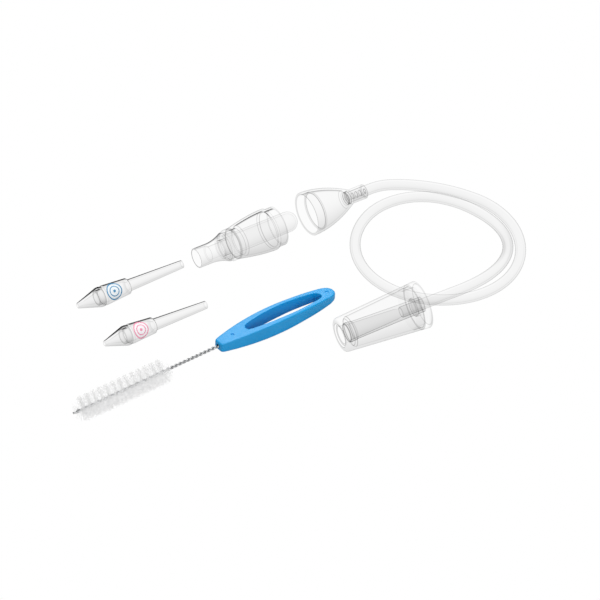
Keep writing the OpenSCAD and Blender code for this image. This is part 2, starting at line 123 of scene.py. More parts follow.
def axle(first, *others):
    """Matrix of a revolved piece: its origin at the end where node `first` is, X on its axis, Z upwards."""
    points = cloud(first, *others)
    middle = points.mean(0)
    axis = np.linalg.eigh(np.cov((points - middle).T))[1][:, -1]
    if (cloud(first).mean(0) - middle) @ axis > 0:
        axis = -axis
    for depth in (1e-3, 4e-4, 2e-4, 1e-4, 1e-4):
        start, end = end_centre(points, axis, -1, depth), end_centre(points, axis, 1, depth)
        axis = (end - start) / np.linalg.norm(end - start)
    return axis_matrix(Vector(start), Vector(axis))


def axis_matrix(origin, x):
    up = (Vector((0, 0, 1)) - x * x.z).normalized()
    side = up.cross(x)
    m = Matrix((x, side, up)).transposed().to_4x4()
    m.translation = origin
    return m


def row(node):
    """Matrix of a piece on the shared level axis, its origin at the node's low X."""
    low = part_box(node)[0]
    cup_low, cup_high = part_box("rear_cup")
    centre = (cup_low + cup_high) / 2
    return Matrix.Translation((low.x, centre.y, centre.z))


AT_CUP = row("rear_cup")
AT_COLLECTOR = row("nozzle")
AT_TIP = row("tip_nose_blue")
AT_SPARE = axle("tip_nose_pink", "tip_stem_pink")
AT_MOUTH = axle("mouthpiece_base", "mouthpiece_shell")
bristle_frame = axle("brush_bristles", "brush_bristles")
handle_low, handle_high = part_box("brush_handle")


def brush_matrix():
    """Origin where the wire enters the handle, X towards the far end of the handle."""
    m = bristle_frame.copy()
    towards = Vector((handle_low + handle_high) / 2) - m.translation
    x = m.to_3x3() @ Vector((1, 0, 0))
    if towards.dot(x) < 0:
        start = m.translation
        x = -x
    else:
        start = m.translation + x * (BRISTLE_LENGTH * MM)
    return axis_matrix(start + x * (BARE_WIRE * MM), x)


AT_BRUSH = brush_matrix()


# ---- The photo's point of view, in degrees ----

CAMERA_AZIMUTH, CAMERA_ELEVATION = -32.2, 40.0


def direction(azimuth, elevation):
    a, e = math.radians(azimuth), math.radians(elevation)
    return Vector((math.sin(a) * math.cos(e), -math.cos(a) * math.cos(e), math.sin(e)))


TO_CAMERA = direction(CAMERA_AZIMUTH, CAMERA_ELEVATION)


# ---- Mesh builders ----


def make_object(name, verts, faces, place, body, material, sharp=32, attributes=None):
    """An object of vertices in millimetres in the frame `place`, riding a body. Edges over `sharp` degrees
    stay crisp, or none if it is 0."""
    mesh = bpy.data.meshes.new(name)
    mesh.from_pydata([Vector(v) * MM for v in verts], [], faces)
    bm = bmesh.new()
    bm.from_mesh(mesh)
    bmesh.ops.recalc_face_normals(bm, faces=bm.faces)
    bm.to_mesh(mesh)
    bm.free()
    mesh.transform(place)
    for p in mesh.polygons:
        p.use_smooth = True
    if sharp:
        mesh.set_sharp_from_angle(angle=math.radians(sharp))
    for key, values in (attributes or {}).items():
        mesh.attributes.new(key, "FLOAT", "POINT").data.foreach_set("value", values)
    obj = bpy.data.objects.new(name, mesh)
    bpy.context.scene.collection.objects.link(obj)
    obj.data.materials.append(material)
    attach(obj, body)
    return obj


def soften(profile, radius, steps=3, from_deg=24, fade=0.12):
    """Rounds the corners of a closed profile that turn by more than from_deg. Gives [radius, x, rim] points,
    where rim is 1 on a rounded corner and fades to 0 beside it: the mask of the painted shade on corners."""
    out = []
    n = len(profile)
    for i in range(n):
        p0, p1, p2 = (np.array(profile[(i + k) % n], float) for k in (-1, 0, 1))
        a, b = p0 - p1, p2 - p1
        la, lb = np.linalg.norm(a), np.linalg.norm(b)
        if la < 1e-6 or lb < 1e-6:
            continue
        cosine = float(np.clip(-(a @ b) / (la * lb), -1, 1))
        if math.degrees(math.acos(cosine)) < from_deg or p1[0] < 1e-6:
            out.append((p1[0], p1[1], 0.0))
            continue
        cut = min(radius, 0.35 * la, 0.35 * lb)
        if 0.45 * la > cut + fade:
            out.append((*(p1 + a / la * (cut + fade)), 0.0))
        s, e = p1 + a / la * cut, p1 + b / lb * cut
        for k in range(steps + 1):
            t = k / steps
            out.append((*((1 - t) ** 2 * s + 2 * t * (1 - t) * p1 + t * t * e), 1.0))
        if 0.45 * lb > cut + fade:
            out.append((*(p1 + b / lb * (cut + fade)), 0.0))
    return out


def outward(profile):
    """1 for the points of a closed [radius, x, rim] profile that face away from the axis, 0 for the rest."""
    pts = np.array(profile)[:, :2]
    ahead, behind = np.roll(pts, -1, 0), np.roll(pts, 1, 0)
    area = np.sum(pts[:, 0] * ahead[:, 1] - ahead[:, 0] * pts[:, 1])
    along = ahead - behind
    return [1.0 if v > -1e-6 else 0.0 for v in along[:, 1] * math.copysign(1, area)]


def lathe_mesh(profile, segments, flute=None):
    """Vertices, faces and attributes of a closed [radius, x, rim] profile turned about X.
    flute(radius, x, angle) adds to the radius."""
    verts, faces, rings, rim, outer = [], [], [], [], []
    for (r, x, corner), outside in zip(profile, outward(profile)):
        count = 1 if r < 1e-6 else segments
        rings.append(range(len(verts), len(verts) + count))
        rim += [corner] * count
        outer += [outside] * count
        if count == 1:
            verts.append((x, 0, 0))
            continue
        for k in range(segments):
            a = 2 * math.pi * k / segments
            rr = r + (flute(r, x, a) if flute else 0)
            verts.append((x, rr * math.cos(a), rr * math.sin(a)))
    for i in range(len(rings)):
        a, b = rings[i], rings[(i + 1) % len(rings)]
        if len(a) == 1 and len(b) == 1:
            continue
        for k in range(segments):
            j = (k + 1) % segments
            if len(a) == 1:
                faces.append((a[0], b[j], b[k]))
            elif len(b) == 1:
                faces.append((a[k], a[j], b[0]))
            else:
                faces.append((a[k], a[j], b[j], b[k]))
    return verts, faces, {"rim": rim, "outer": outer}


def lathe(name, profile, place, body, material, replaces, radius=0.14, segments=112,
          flute=None, rims=1.0, mouth_rims=None, covered=(0, 0)):
    """A turned moulding with corners of a radius, in place of the CAD node `replaces`. rims is how strongly
    the painted shade on its corners shows, and mouth_rims replaces it on the first millimetre. covered is the
    stretch that other mouldings enclose, where its edges and their painted shade hardly show."""
    verts, faces, attributes = lathe_mesh(soften(profile, radius), segments, flute)
    at_mouth = rims if mouth_rims is None else mouth_rims
    seen = [0 if covered[0] < p[0] < covered[1] else 1 for p in verts]
    attributes["rim"] = [v * u * (at_mouth if p[0] < 1 else rims)
                         for v, u, p in zip(attributes["rim"], seen, verts)]
    attributes["outer"] = [v * u for v, u in zip(attributes["outer"], seen)]
    obj = make_object(name, verts, faces, place, body, material, 40, attributes)
    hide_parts(replaces)
    return obj


def round_points(r, x, radius, start, end, n=8):
    """[radius, x] points of an arc about (r, x), from a start to an end angle in degrees."""
    out = []
    for i in range(n + 1):
        a = math.radians(mix(start, end, i / n))
        out.append((r + radius * math.cos(a), x + radius * math.sin(a)))
    return out


def sweep(points, sides, radius, inner=None):
    """A rod along points, or a tube if an inner radius is given. The cross-section does not twist."""
    pts = [Vector(p) for p in points]
    verts, faces = [], []
    tangents = []
    for i in range(len(pts)):
        a, b = pts[max(i - 1, 0)], pts[min(i + 1, len(pts) - 1)]
        tangents.append((b - a).normalized())
    normal = tangents[0].orthogonal().normalized()
    frames = []
    for t in tangents:
        normal = (normal - t * normal.dot(t)).normalized()
        frames.append((normal.copy(), t.cross(normal)))
    radii = [radius] + ([inner] if inner else [])
    for r in radii:
        for p, (u, v) in zip(pts, frames):
            for k in range(sides):
                a = 2 * math.pi * k / sides
                verts.append(p + (u * math.cos(a) + v * math.sin(a)) * r)
    m = len(pts)
    for layer in range(len(radii)):
        base = layer * m * sides
        for i in range(m - 1):
            for k in range(sides):
                j = (k + 1) % sides
                a, b = base + i * sides, base + (i + 1) * sides
                quad = (a + k, a + j, b + j, b + k)
                faces.append(quad if layer == 0 else quad[::-1])
    if inner:
        for i in (0, m - 1):
            for k in range(sides):
                j = (k + 1) % sides
                o, b = i * sides, (m + i) * sides
                faces.append((o + k, o + j, b + j, b + k))
    else:
        faces.append(tuple(range(sides))[::-1])
        faces.append(tuple((m - 1) * sides + k for k in range(sides)))
    return verts, faces


# ---- Materials ----


class Nodes:
    """Short calls for building one material's nodes."""

    def __init__(self, name):
        self.material = bpy.data.materials.new(name)
        self.material.use_nodes = True
        self.tree = self.material.node_tree
        self.tree.nodes.clear()
        self.coords = self.add("ShaderNodeTexCoord")

    def add(self, kind, **values):
        node = self.tree.nodes.new(kind)
        for key, value in values.items():
            if key in node.inputs:
                node.inputs[key].default_value = value
            else:
                setattr(node, key, value)
        return node

    def link(self, a, b):
        self.tree.links.new(a, b)

    def noise(self, scale, detail=3.0, rough=0.5, stretch=(1, 1, 1)):
        """Noise in the piece's own metres."""
        mapping = self.add("ShaderNodeMapping")
        mapping.inputs["Scale"].default_value = stretch
        self.link(self.coords.outputs["Object"], mapping.inputs["Vector"])
        n = self.add("ShaderNodeTexNoise")
        n.inputs["Scale"].default_value = scale
        n.inputs["Detail"].default_value = detail
        n.inputs["Roughness"].default_value = rough
        self.link(mapping.outputs["Vector"], n.inputs["Vector"])
        return n.outputs["Fac"]

    def spread(self, fac, low, high):
        """Takes the usual range of a noise to low .. high."""
        m = self.add("ShaderNodeMapRange")
        m.inputs["To Min"].default_value = low
        m.inputs["To Max"].default_value = high
        m.inputs["From Min"].default_value = 0.3
        m.inputs["From Max"].default_value = 0.7
        self.link(fac, m.inputs["Value"])
        return m.outputs["Result"]

    def blend(self, fac, a, b):
        m = self.add("ShaderNodeMix", data_type="RGBA")
        m.inputs[6].default_value = (*a, 1)
        m.inputs[7].default_value = (*b, 1)
        self.link(fac, m.inputs[0])
        return m.outputs[2]

    def bump(self, fac, strength, distance):
        b = self.add("ShaderNodeBump")
        b.inputs["Strength"].default_value = strength
        b.inputs["Distance"].default_value = distance
        self.link(fac, b.inputs["Height"])
        return b.outputs["Normal"]

    def math(self, operation, a, b=None, c=None):
        m = self.add("ShaderNodeMath", operation=operation)
        for i, v in enumerate((a, b, c)):
            if v is None:
                continue
            if isinstance(v, (int, float)):
                m.inputs[i].default_value = v
            else:
                self.link(v, m.inputs[i])
        return m.outputs[0]

    def mix_shader(self, fac, a, b):
        m = self.add("ShaderNodeMixShader")
        if isinstance(fac, (int, float)):
            m.inputs[0].default_value = fac
        else:
            self.link(fac, m.inputs[0])
        self.link(a, m.inputs[1])
        self.link(b, m.inputs[2])
        return m.outputs["Shader"]

    def smooth(self, value, start, end):
        m = self.add("ShaderNodeMapRange", interpolation_type="SMOOTHSTEP")
        m.inputs["From Min"].default_value = start
        m.inputs["From Max"].default_value = end
        self.link(value, m.inputs["Value"])
        return m.outputs["Result"]

    def between(self, fac, a, b):
        """a where fac is 0, b where fac is 1."""
        return self.math("MULTIPLY_ADD", fac, b - a, a)

    def faded(self, fac, value):
        """1 where fac is 0, value where fac is 1."""
        away = self.math("SUBTRACT", 1.0, value)
        return self.math("SUBTRACT", 1.0, self.math("MULTIPLY", fac, away))

    def principled(self, **values):
        p = self.add("ShaderNodeBsdfPrincipled")
        for key, value in values.items():
            p.inputs[key.replace("_", " ")].default_value = value
        return p

    def finish(self, shader):
        out = self.add("ShaderNodeOutputMaterial")
        self.link(shader, out.inputs["Surface"])
        return self.material


def clear_plastic(name, body, edge, line, turned, rim, under_shade, rough=0.05, low_edge=0.90):
    """Thin-walled clear moulding: lets the background through; painted reflection and shade grey its edges.

    body is the tint per surface seen square on. edge and line give, for outer and inner surfaces, the tint
    seen edge on, a painted reflection of darker surroundings, and the dark line along the upper silhouette,
    a painted dark reflection. turned says how far a surface has turned away when it begins to darken and when
    it is darkest. rim is the painted shade on moulded corners, under the painted shade on outer surfaces that
    face the table, and low_edge the edge-on tint along the lower silhouette, a painted reflection of the
    bright table."""
    start, full = turned
    n = Nodes(name)
    bumpy = n.bump(n.noise(60, 2, 0.4, (0.4, 1, 1)), 0.08, 0.0005)
    weight = n.add("ShaderNodeLayerWeight")
    weight.inputs["Blend"].default_value = 0.5
    n.link(bumpy, weight.inputs["Normal"])
    facing = weight.outputs["Facing"]
    outer = n.add("ShaderNodeAttribute", attribute_name="outer").outputs["Fac"]
    corner = n.add("ShaderNodeAttribute", attribute_name="rim").outputs["Fac"]
    geometry = n.add("ShaderNodeNewGeometry")
    split = n.add("ShaderNodeSeparateXYZ")
    n.link(geometry.outputs["Normal"], split.inputs["Vector"])
    near = n.math("ABSOLUTE", n.math("SUBTRACT", outer, geometry.outputs["Backfacing"]))
    # Height of the moulding's own outward direction, whichever side of the wall is seen.
    radial = n.math("MULTIPLY", split.outputs["Z"], n.math("MULTIPLY_ADD", near, 2.0, -1.0))
    # Painted reflection: edge-on surfaces darken as if reflecting darker surroundings; low_edge along the
    # lower silhouette stands for the bright table reflected.
    edge_reflection_tint = n.between(outer, edge[1], edge[0])
    lower = n.smooth(radial, 0.10, -0.50)
    edge_reflection_tint = n.math("ADD", edge_reflection_tint, n.math("MULTIPLY", lower, n.math("SUBTRACT", low_edge, edge_reflection_tint)))
    away = n.smooth(facing, start, full)
    tint = n.math("ADD", n.math("MULTIPLY", away, n.math("SUBTRACT", edge_reflection_tint, body)), body)
    # Painted dark reflection: a dark line along the upper silhouette.
    up = n.math("MULTIPLY", n.smooth(split.outputs["Z"], 0.40, 0.65), near)
    on = n.math("MULTIPLY", n.smooth(facing, start - 0.10, start + 0.14), up)
    tint = n.math("MULTIPLY", tint, n.faded(on, n.between(outer, line[1], line[0])))
    # Painted shade on the rounded corners.
    tint = n.math("MULTIPLY", tint, n.faded(corner, rim))
    # Painted shade on outer surfaces that face the table.
    low = n.math("MULTIPLY", n.math("MULTIPLY", n.smooth(split.outputs["Z"], 0.95, -0.45), near), outer)
    tint = n.math("MULTIPLY", tint, n.faded(low, under_shade))
    through = n.add("ShaderNodeBsdfTransparent")
    n.link(tint, through.inputs["Color"])
    gloss = n.add("ShaderNodeBsdfGlossy")
    n.link(n.spread(n.noise(200, 3), rough * 0.6, rough * 1.4), gloss.inputs["Roughness"])
    n.link(bumpy, gloss.inputs["Normal"])
    skin = n.math("MULTIPLY", near, outer)
    shine = n.math("MULTIPLY", n.math("MULTIPLY", n.smooth(facing, 0.62, 1.0), 0.25), skin)
    return n.finish(n.mix_shader(shine, through.outputs["BSDF"], gloss.outputs["BSDF"]))


def handle_plastic():
    n = Nodes("brush_blue_plastic")
    p = n.principled(Specular_IOR_Level=0.45)
    colour = n.blend(n.spread(n.noise(60, 3), 0, 1), (0.0, 0.310, 0.690), (0.001, 0.330, 0.725))
    n.link(colour, p.inputs["Base Color"])
    n.link(n.spread(n.noise(900, 3), 0.3, 0.42), p.inputs["Roughness"])
    n.link(n.bump(n.noise(2400, 2), 0.05, 0.00005), p.inputs["Normal"])
    return n.finish(p.outputs["BSDF"])


def steel():
    n = Nodes("brush_wire_steel")
    p = n.principled(Metallic=1.0)
    colour = n.blend(n.spread(n.noise(1500, 3), 0, 1), (0.34, 0.345, 0.35), (0.55, 0.555, 0.56))
    n.link(colour, p.inputs["Base Color"])
    n.link(n.spread(n.noise(4000, 2), 0.18, 0.32), p.inputs["Roughness"])
    return n.finish(p.outputs["BSDF"])


def nylon():
    n = Nodes("brush_nylon")
    colour = n.blend(n.spread(n.noise(800, 2), 0, 1), (0.93, 0.93, 0.93), (0.98, 0.98, 0.98))
    scatter, glow = n.add("ShaderNodeBsdfDiffuse"), n.add("ShaderNodeBsdfTranslucent")
    n.link(colour, scatter.inputs["Color"])
    n.link(colour, glow.inputs["Color"])
    soft = n.mix_shader(0.5, scatter.outputs["BSDF"], glow.outputs["BSDF"])
    # Painted glow: an emission standing in for light passed on from filament to filament deep in the bundle.
    painted_glow = n.add("ShaderNodeEmission", Strength=0.20)
    lit = n.add("ShaderNodeAddShader")
    n.link(soft, lit.inputs[0])
    n.link(painted_glow.outputs["Emission"], lit.inputs[1])
    through = n.add("ShaderNodeBsdfTransparent", Color=(0.995, 0.995, 0.995, 1))
    body = n.mix_shader(0.12, through.outputs["BSDF"], lit.outputs["Shader"])
    gloss = n.add("ShaderNodeBsdfGlossy", Roughness=0.3)
    return n.finish(n.mix_shader(0.03, body, gloss.outputs["BSDF"]))


def ink(name, colour, paler):
    n = Nodes(name)
    p = n.principled(Roughness=0.4)
    n.link(n.blend(n.spread(n.noise(1800, 3), 0, 1), colour, paler), p.inputs["Base Color"])
    return n.finish(p.outputs["BSDF"])


def wash_ink(name, colour):
    """A pale wash of ink that the plastic still shows through."""
    n = Nodes(name)
    p = n.principled(Roughness=0.5)
    n.link(n.blend(n.noise(900, 2), colour, (0.93, 0.95, 0.97)), p.inputs["Base Color"])
    see = n.add("ShaderNodeBsdfTransparent")
    return n.finish(n.mix_shader(0.5, see.outputs["BSDF"], p.outputs["BSDF"]))


# Clear mouldings: their edge-on, silhouette-line and lower-edge tints are painted reflections, their corner
# and table-facing tints painted shade.
CLEAR = clear_plastic(
    "clear_plastic", body=0.988, edge=(0.78, 0.70), line=(0.90, 0.20),
    turned=(0.66, 0.92), rim=0.62, under_shade=0.70)
CUP_CLEAR = clear_plastic(
    "cup_plastic", body=0.986, edge=(0.82, 0.84), line=(0.93, 0.62),
    turned=(0.66, 0.92), rim=0.76, under_shade=0.78)
TRAP_CLEAR = clear_plastic(
    "trap_plastic", body=0.984, edge=(0.82, 0.88), line=(0.92, 0.92),
    turned=(0.66, 0.92), rim=0.70, under_shade=0.84)
NOZZLE_CLEAR = clear_plastic(
    "nozzle_plastic", body=0.988, edge=(0.78, 0.90), line=(0.28, 0.85),
    turned=(0.56, 0.88), rim=0.30, under_shade=0.76)
TIP_CLEAR = clear_plastic(
    "tip_plastic", body=0.980, edge=(0.66, 0.92), line=(0.06, 0.90),
    turned=(0.50, 0.82), rim=0.74, under_shade=0.74)
SOFT = clear_plastic(
    "soft_silicone", body=0.970, edge=(0.66, 0.92), line=(0.02, 0.90),
    turned=(0.44, 0.76), rim=0.74, under_shade=0.72, rough=0.12)
SMOKY = clear_plastic(
    "mouthpiece_plastic", body=0.986, edge=(0.91, 0.89), line=(0.88, 0.80),
    turned=(0.66, 0.92), rim=0.50, under_shade=0.80)
AIRWAY = clear_plastic(
    "airway_plastic", body=0.950, edge=(0.70, 0.82), line=(0.90, 0.88),
    turned=(0.60, 0.90), rim=0.66, under_shade=0.84, low_edge=0.46)
HOSE_SKIN = clear_plastic(
    "hose_silicone", body=0.978, edge=(0.80, 0.99), line=(0.92, 1.0),
    turned=(0.50, 0.92), rim=1.0, under_shade=0.84, rough=0.25, low_edge=0.82)
SEAL = clear_plastic(
    "seal_silicone", body=0.984, edge=(0.88, 0.95), line=(0.76, 0.95),
    turned=(0.60, 0.90), rim=0.84, under_shade=0.86, rough=0.10)
BLUE = handle_plastic()
STEEL = steel()
NYLON = nylon()


# ---- Tips ----


def tip(place, suffix, body):
    # The soft cone's socket sits on a spigot of the barrel, from seat to end.
    seat, end, socket, spigot, hole, channel = 11.0, 14.0, 3.9, 3.88, 0.9, 2.9
    nose = [(hole, 0)] + round_points(1.1, 0.4, 0.4, -90, 0) + [
        (TIP_R - 0.12, 12.0), (TIP_R, 12.5), (TIP_R, 13.8), (TIP_R - 0.2, end), (socket, end), (socket, seat),
        (channel, seat), (hole, 3.2)]
    stem = [
        (spigot, seat), (spigot, end), (TIP_R - 0.4, end), (TIP_R - 0.4, SHOULDER_X - 0.15),
        (TIP_R, SHOULDER_X), (BARREL_REAR_R, BARREL_END_X), (BARREL_REAR_R - 0.35, BARREL_END_X + 0.35),
        (STEM_R + 0.3, BARREL_END_X + 0.35), (STEM_R, BARREL_END_X + 0.65), (STEM_END_R, TIP_LENGTH),
        (STEM_END_R - 0.8, TIP_LENGTH), (STEM_R - 0.9, BARREL_END_X), (BARREL_REAR_R - 1, BARREL_END_X - 2),
        (TIP_R - 1.3, SHOULDER_X + 0.6), (channel, 13.0), (channel, seat)]
    lathe("nose_cone_" + suffix, nose, place, body, SOFT, "tip_nose_" + suffix, rims=0.3)
    lathe("barrel_and_stem_" + suffix, stem, place, body, TIP_CLEAR, "tip_stem_" + suffix, rims=0.35)


def barrel_r(x):
    return mix(TIP_R, BARREL_REAR_R, (x - SHOULDER_X) / (BARREL_END_X - SHOULDER_X))


MARK_X, MARK_R = 19.5, 4.3


def mark_patch(name, place, body, material, inner, outer, lift):
    """A ring printed on the barrel, round as seen from the camera. inner and outer are shares of MARK_R."""
    around, across = 96, 6
    local = place.to_3x3().inverted() @ TO_CAMERA
    turn = math.atan2(local.z, local.y)
    verts, faces = [], []
    for i in range(across + 1):
        rho = mix(inner, outer, i / across)
        for k in range(around):
            t = 2 * math.pi * k / around
            x = MARK_X + MARK_R * rho * math.cos(t)
            r = barrel_r(x) + lift
            a = turn + math.asin(MARK_R * rho * math.sin(t) / r)
            verts.append((x, r * math.cos(a), r * math.sin(a)))
    for i in range(across):
        for k in range(around):
            j = (k + 1) % around
            faces.append((i * around + k, i * around + j, (i + 1) * around + j, (i + 1) * around + k))
    obj = make_object(name, verts, faces, place, body, material, 0)


def ring_mark(place, suffix, body, strong, paler, wash):
    line = ink("ink_" + suffix, strong, paler)
    mark_patch("mark_ground_" + suffix, place, body, wash_ink("wash_" + suffix, wash), 0.02, 0.90, 0.015)
    for part, inner, outer in (("outer_ring", 0.87, 1.0), ("inner_ring", 0.52, 0.63), ("dot", 0.02, 0.17)):
        mark_patch("mark_" + part + "_" + suffix, place, body, line, inner, outer, 0.03)


tip(AT_TIP, "blue", "tip")
tip(AT_SPARE, "pink", "spare_tip")
ring_mark(AT_TIP, "blue", "tip", (0.03, 0.22, 0.42), (0.05, 0.28, 0.50), (0.66, 0.84, 0.92))
ring_mark(AT_SPARE, "pink", "spare_tip", (0.82, 0.22, 0.36), (0.88, 0.30, 0.44), (0.95, 0.80, 0.86))


# ---- Collector ----

NOZZLE_LENGTH, BELL_END_X, RING_END_X, SPIGOT_END_X = 7, 16.7, 21.5, 24.3
SHELL_END_X, SHELL_SPIGOT_END_X, SHELL_SPIGOT_R, NECK_R = 43.4, 48, 10.2, 7
SEAT_DEPTH, THROAT_R, WEB_X, WALL = 6.5, 3.4, 14, 0.95
AIR_SLOT_LENGTH, AIR_SLOT_WIDTH, AIR_SLOT_CORNER, AIR_SLOT_X = 8, 3, 1.2, 26
SOCKET_R = BARREL_REAR_R + (TIP_R - BARREL_REAR_R) / (BARREL_END_X - SHOULDER_X) * SEAT_DEPTH + 0.045


def bell(x):
    return mix(NOZZLE_R, BELL_R, ((x - NOZZLE_LENGTH) / (BELL_END_X - NOZZLE_LENGTH)) ** 2)


def shell_out(x):
    return mix(RING_R - 0.1, SHELL_R, math.sin(math.pi / 2 * (x - RING_END_X) / (SHELL_END_X - RING_END_X)))


def collector():
    spigot = NECK_R - 0.06
    sleeve = TRAP_R - 0.97
    nozzle = ([(SOCKET_R, 0)] + round_points(NOZZLE_R - 0.2, 0.2, 0.2, -90, 0, 5)
              + [(bell(x), x) for x in np.linspace(NOZZLE_LENGTH, BELL_END_X, 24)]
              + [(spigot, BELL_END_X), (spigot, SPIGOT_END_X), (NECK_R - 1, SPIGOT_END_X),
                 (NECK_R - 1, BELL_END_X - 0.2)]
              + [(bell(x) - WALL, x) for x in np.linspace(BELL_END_X - 0.7, WEB_X, 8)]
              + [(sleeve, WEB_X), (sleeve, BELL_END_X + 2.3), (THROAT_R, BELL_END_X + 2.3),
                 (THROAT_R, SEAT_DEPTH + 0.7), (SOCKET_R - 0.49, SEAT_DEPTH + 0.5)])
    lathe("inlet_nozzle", nozzle, AT_COLLECTOR, "inlet", NOZZLE_CLEAR, "nozzle", rims=0.2, mouth_rims=1.0,
          covered=(BELL_END_X + 0.05, SPIGOT_END_X + 0.1))

    x0, x1, inner = BELL_END_X, RING_END_X - 0.04, NECK_R - 0.04
    ring = ([(inner, x0), (BELL_R - 0.1, x0)] + round_points(BELL_R - 0.4, x0 + 0.7, 0.6, -60, 90)
            + [(BELL_R - 0.4, x0 + 1.5)] + round_points(RING_R - 0.9, x0 + 2.4, 0.9, -90, 0)
            + [(RING_R, x1 - 0.9)] + round_points(RING_R - 0.5, x1 - 0.5, 0.5, 0, 90) + [(inner, x1)])

    def ribs(r, x, a):
        """Shallow grooves round the narrow part of the ring."""
        count, depth = 54, 0.10
        on = 1 if r > BELL_R - 0.6 and x < x0 + 1.9 else 0
        return -depth * on * max(0.0, math.cos(count * a)) ** 2

    lathe("collar_ring", ring, AT_COLLECTOR, "inlet", SEAL, "seal_ring", segments=324,
          flute=ribs, rims=0.2)

    dome_x, bore = COLLECTOR_LENGTH - TRAP_R, TRAP_R - WALL
    trap = ([(bore, WEB_X), (TRAP_R, WEB_X)] + round_points(0, dome_x, TRAP_R, 0, 89.9, 24)
            + [(0, COLLECTOR_LENGTH), (0, COLLECTOR_LENGTH - WALL)]
            + round_points(0, dome_x, bore, 89.9, 0, 24))
    tube = lathe("trap_tube_dome", trap, AT_COLLECTOR, "inlet", TRAP_CLEAR, "trap_tube", rims=0.3,
                 covered=(0, RING_END_X + 0.5))
    cut_slots(tube)

    shell = ([(NECK_R, RING_END_X), (RING_R - 0.4, RING_END_X), (RING_R - 0.05, RING_END_X + 0.35)]
             + [(shell_out(x), x) for x in np.linspace(RING_END_X + 0.9, SHELL_END_X - 0.6, 34)]
             + round_points(SHELL_R - 0.6, SHELL_END_X - 0.6, 0.6, 10, 90)
             + [(SHELL_SPIGOT_R, SHELL_END_X), (SHELL_SPIGOT_R, SHELL_SPIGOT_END_X),
                (SHELL_SPIGOT_R - 1, SHELL_SPIGOT_END_X), (SHELL_SPIGOT_R - 1, SHELL_END_X - 0.6)]
             + [(shell_out(x) - 1, x) for x in np.linspace(SHELL_END_X - 1.6, RING_END_X + 4.5, 26)]
             + [(NECK_R, RING_END_X + 3.4)])
    lathe("collector_wall", shell, AT_COLLECTOR, "collector", CLEAR, "collector_shell", segments=144,
          rims=0.7)


def cut_slots(tube):
    """The two air slots through the wall of the trap tube."""
    bm = bmesh.new()
    bmesh.ops.create_cube(bm, size=1)
    bmesh.ops.scale(bm, vec=(AIR_SLOT_LENGTH * MM, AIR_SLOT_WIDTH * MM, 3 * TRAP_R * MM), verts=bm.verts)
    upright = [e for e in bm.edges if abs((e.verts[0].co - e.verts[1].co).z) > 1e-4]
    bmesh.ops.bevel(bm, geom=upright, offset=AIR_SLOT_CORNER * MM, segments=6, affect="EDGES")
    bmesh.ops.translate(bm, vec=(AIR_SLOT_X * MM, 0, 0), verts=bm.verts)
    carve(tube, bm, AT_COLLECTOR)


def carve(obj, bm, place):
    """Cuts the shape in bm, given in the piece's own frame, out of obj."""
    mesh = bpy.data.meshes.new("cutter")
    bm.to_mesh(mesh)
    bm.free()
    mesh.transform(place)
    cutter = bpy.data.objects.new("cutter", mesh)
    bpy.context.scene.collection.objects.link(cutter)
    m = obj.modifiers.new("cut", "BOOLEAN")
    m.operation, m.solver, m.object = "DIFFERENCE", "EXACT", cutter
    bpy.context.view_layer.update()
    depsgraph = bpy.context.evaluated_depsgraph_get()
    cut = bpy.data.meshes.new_from_object(obj.evaluated_get(depsgraph))
    obj.modifiers.remove(m)
    old = obj.data
    obj.data = cut
    cut.set_sharp_from_angle(angle=math.radians(32))
    bpy.data.meshes.remove(old)
    bpy.data.objects.remove(cutter)
    bpy.data.meshes.remove(mesh)


collector()


# ---- Rear cup and hose connector ----

BULLET_END_X = CUP_LENGTH - COLLAR_LENGTH
POCKET_X = BULLET_END_X - 2


def cup_out(x):
    return mix(CUP_R, COLLAR_R + 0.5, (x / BULLET_END_X) ** 1.9)


def rear_cup():
    socket, depth, bore, pocket = SHELL_SPIGOT_R + 0.06, 5, HOSE_R + 0.06, 3.46
    cup = ([(socket, 0.3), (socket + 0.3, 0)] + round_points(CUP_R - 0.4, 0.4, 0.4, -90, 0, 6)
           + [(cup_out(x), x) for x in np.linspace(0.9, BULLET_END_X, 44)]
           + [(COLLAR_R, BULLET_END_X + 0.5), (COLLAR_R, CUP_LENGTH - 0.4), (COLLAR_R - 0.4, CUP_LENGTH),
              (bore, CUP_LENGTH), (bore, POCKET_X + 1.6), (pocket, POCKET_X + 1.6), (pocket, POCKET_X - 0.6)]
           + [(max(cup_out(x) - 1.1, pocket), x) for x in np.linspace(POCKET_X - 1.2, depth + 0.6, 34)]
           + [(SHELL_SPIGOT_R - 1, depth + 0.4), (SHELL_SPIGOT_R - 1, depth), (socket, depth)])
    lathe("cup_wall", cup, AT_CUP, "cup", CUP_CLEAR, "rear_cup", radius=0.12, segments=144)
    x0, x1, flange, stem, barb, hole = POCKET_X, POCKET_X + 1.5, 3.4, 1.49, 1.69, 0.95
    part = ([(hole, x0), (3.1, x0), (flange, x0 + 0.3), (flange, x1), (stem, x1)]
            + [(r, x1 + x) for x in (2.6, 4.8, 7) for r in (stem, barb)]
            + [(stem - 0.15, x1 + 10), (hole, x1 + 10)])
    lathe("barbed_connector", part, AT_CUP, "connector", SMOKY, "hose_connector", radius=0.1)


rear_cup()


# ---- Hose ----


def hose_plan(s):
    """x and y of the centre line at a distance s past the cup's rear end: a straight lead, then the bends."""
    if s <= HOSE_LEAD:
        return s, 0.0
    x, y, h = HOSE_LEAD, 0.0, 0.0
    s -= HOSE_LEAD
    for radius, degrees in HOSE_BENDS:
        turn = math.radians(degrees)
        part = min(s / radius, turn)
        x += radius * (math.sin(h) - math.sin(h - part))
        y += radius * (math.cos(h - part) - math.cos(h))
        h -= part
        s -= radius * turn
        if s <= 0:
            return x, y
    return x + s * math.cos(h), y + s * math.sin(h)


